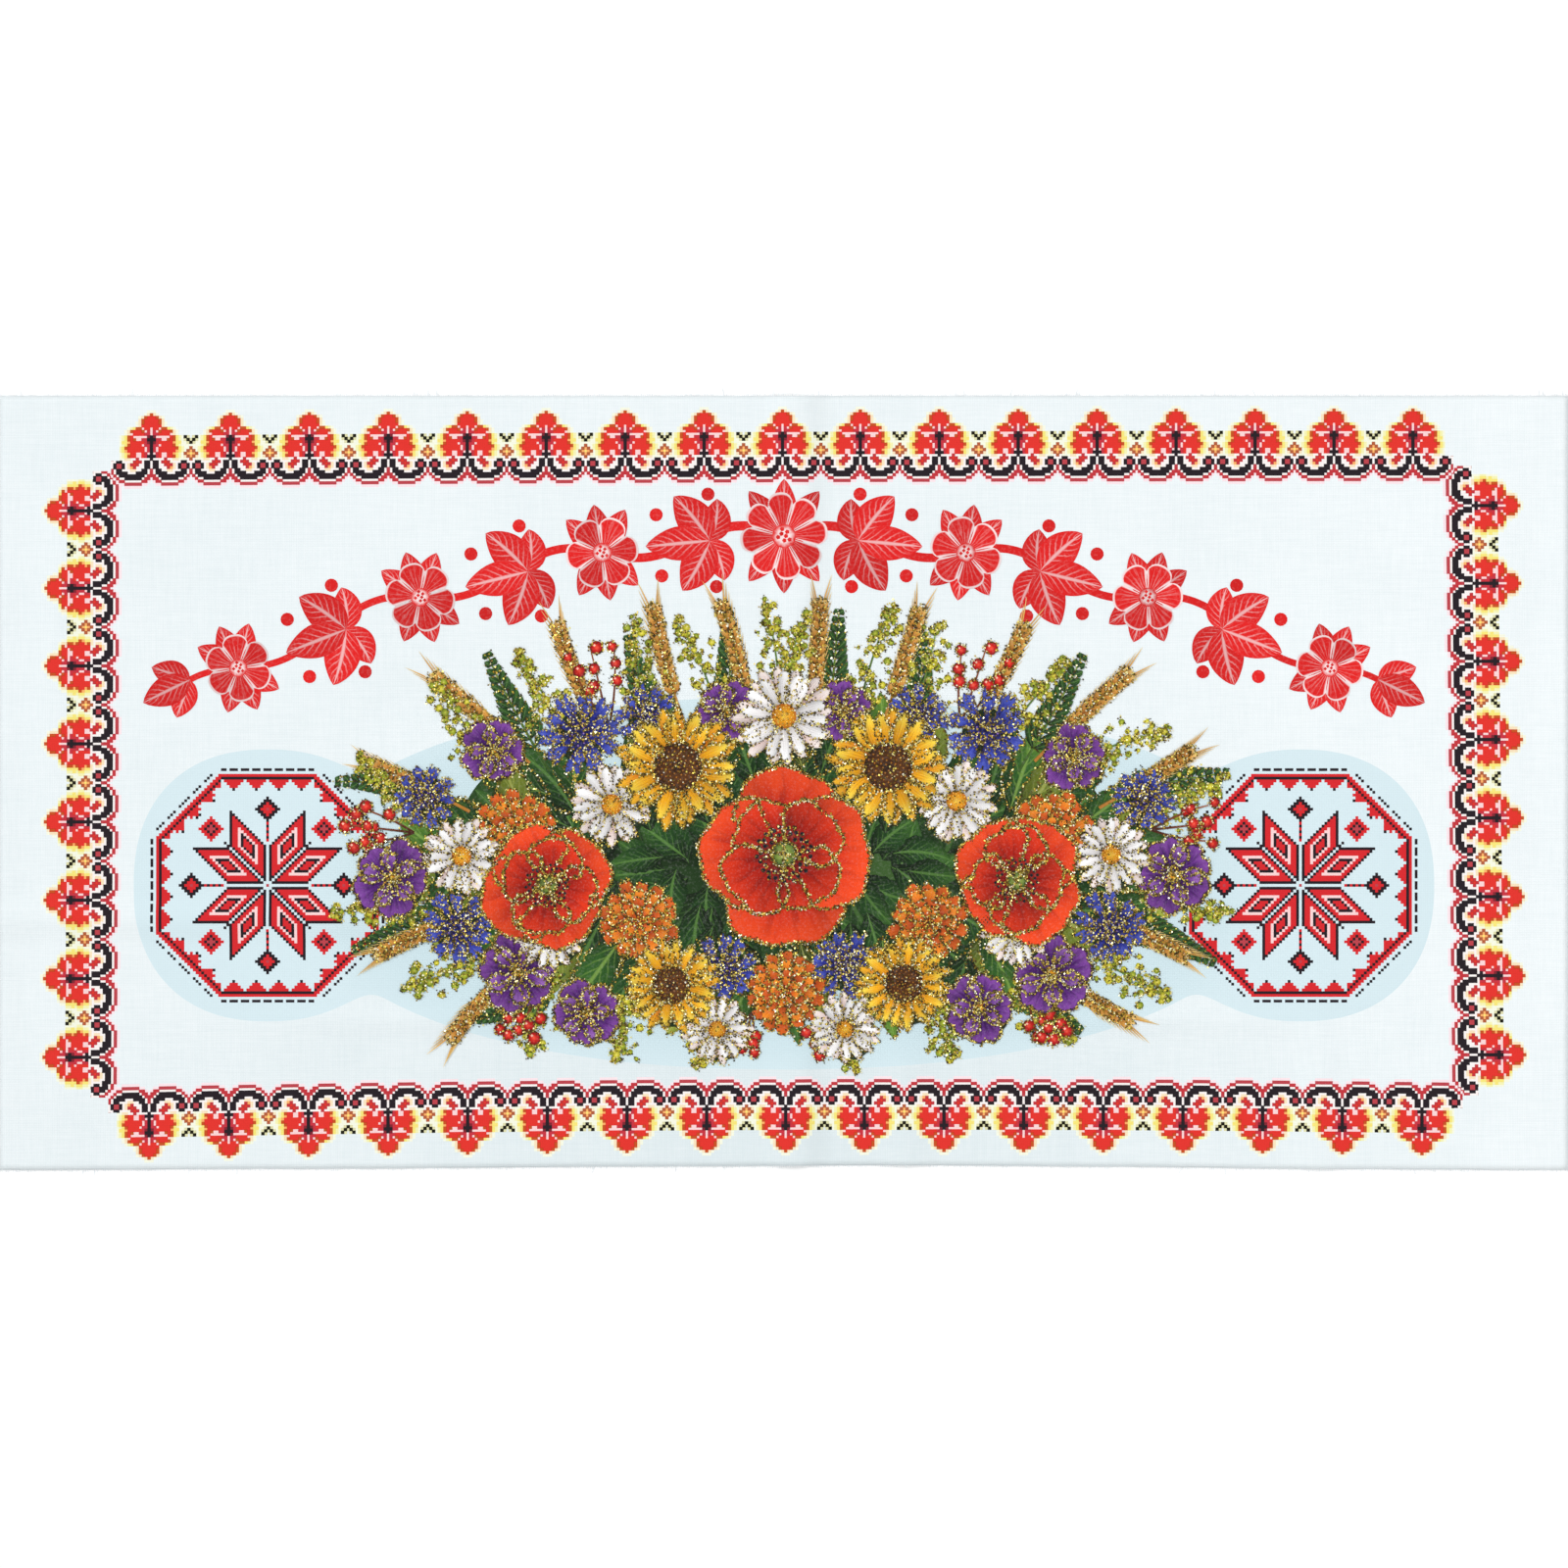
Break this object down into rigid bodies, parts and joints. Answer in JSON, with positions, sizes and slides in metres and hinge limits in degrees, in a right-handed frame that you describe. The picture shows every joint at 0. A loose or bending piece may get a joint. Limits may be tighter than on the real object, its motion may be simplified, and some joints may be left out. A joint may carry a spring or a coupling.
{
  "type": "easter basket cover",
  "caption": "Flat rectangular cloth panel, printed on one side, laid over a filled food basket or on a table.",
  "frame": {"origin": "middle of the panel's underside, on the surface it lies on", "axes": "+X along the panel's long side, +Y up the print as it is read, +Z out of the printed face"},
  "size_m": [0.75, 0.37, 0.0031],
  "materials": {
    "printed_cotton": "matt plain-weave cotton, cool white, printed in red, black and yellow"
  },
  "bodies": {
    "root": {"printed_cloth": "printed_cotton"}
  },
  "joints": []
}
